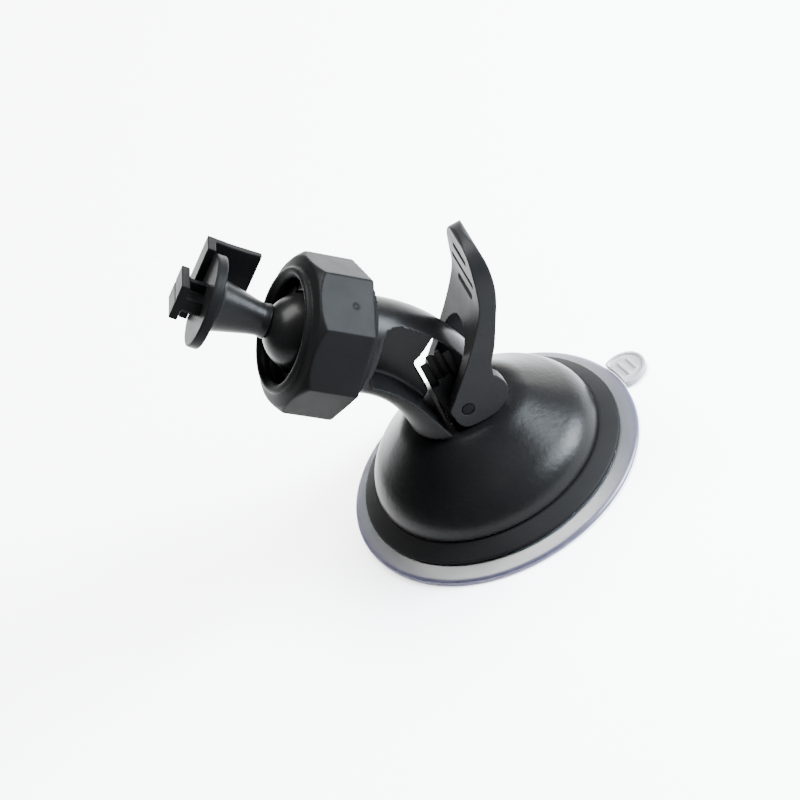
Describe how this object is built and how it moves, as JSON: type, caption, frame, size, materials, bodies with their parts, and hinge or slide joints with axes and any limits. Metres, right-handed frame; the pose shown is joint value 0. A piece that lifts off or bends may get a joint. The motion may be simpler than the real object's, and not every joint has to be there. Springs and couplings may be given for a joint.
{
  "type": "windscreen suction mount for a dash camera",
  "caption": "Windscreen suction mount for a small dash camera, with a clear disc, domed base, cam lever, curved arm, locking ball joint and slide-in camera shoe.",
  "frame": {"origin": "centre of the suction disc's flat underside", "axes": "+Z away from the glass along the dome and stem; the arm leans towards -X; the lever folds down towards +X"},
  "size_m": [0.0743, 0.06, 0.0729],
  "materials": {
    "clear_tpu": "clear polyurethane with a faint violet-blue tint at the rim",
    "milky_tpu": "milky translucent polyurethane",
    "black_matte": "matte black moulded plastic",
    "black_gloss": "glossy black moulded plastic with a faint orange-peel surface",
    "black_satin": "satin black moulded plastic"
  },
  "bodies": {
    "base": {"suction_disc": "clear_tpu", "pressure_ring": "black_matte", "dome_cover": "black_gloss", "arm": "black_satin"},
    "tab": {"pull_tab": "milky_tpu"},
    "stem": {"lift_stem": "black_satin", "lever_pin": "black_satin"},
    "lever": {"cam_lever": "black_satin"},
    "nut": {"lock_nut": "black_satin"},
    "ball": {"joint_ball": "black_satin"},
    "stud": {"ball_stud": "black_satin"},
    "shoe": {"camera_shoe": "black_satin"},
    "latch": {"release_latch": "black_satin"}
  },
  "joints": [
    {"name": "stem_lift", "type": "slide", "parent": "base", "child": "stem", "axis": [0, 0, 1], "range_m": [0, 0.0039], "deforming": ["suction_disc"]},
    {"name": "lever_turn", "type": "hinge", "parent": "stem", "child": "lever", "pos_m": [0.0009, 0, 0.0234], "axis": [0, 1, 0], "range_deg": [0, 70]},
    {"name": "nut_turn", "type": "hinge", "parent": "base", "child": "nut", "pos_m": [-0.0124, 0, 0.0452], "axis": [-0.6947, 0, 0.7193], "range_deg": [0, 360]},
    {"name": "ball_pan", "type": "hinge", "parent": "base", "child": "ball", "pos_m": [-0.01865, 0, 0.05167], "axis": [-0.6947, 0, 0.7193], "continuous": true},
    {"name": "ball_tilt", "type": "hinge", "parent": "ball", "child": "stud", "pos_m": [-0.01865, 0, 0.05167], "axis": [-0.7, 0.2301, -0.676], "range_deg": [-39.6, 14.4]},
    {"name": "shoe_roll", "type": "hinge", "parent": "stud", "child": "shoe", "pos_m": [-0.03142, 0.00422, 0.06634], "axis": [-0.6418, 0.2123, 0.7369], "continuous": true},
    {"name": "latch_press", "type": "hinge", "parent": "shoe", "child": "latch", "pos_m": [-0.03102, 0.00955, 0.0661], "axis": [-0.7498, 0.0276, -0.6611], "range_deg": [0, 8], "stiffness_Nm_per_rad": 0.2},
    {"name": "tab_peel", "type": "hinge", "parent": "base", "child": "tab", "pos_m": [0.02971, 0.00513, 0.0009], "axis": [0.1702, -0.9854, 0], "range_deg": [0, 60], "stiffness_Nm_per_rad": 0.01}
  ],
  "couplings": [
    {"joint": "lever_turn", "follows": "stem_lift", "rad_per_m": 312.5}
  ]
}
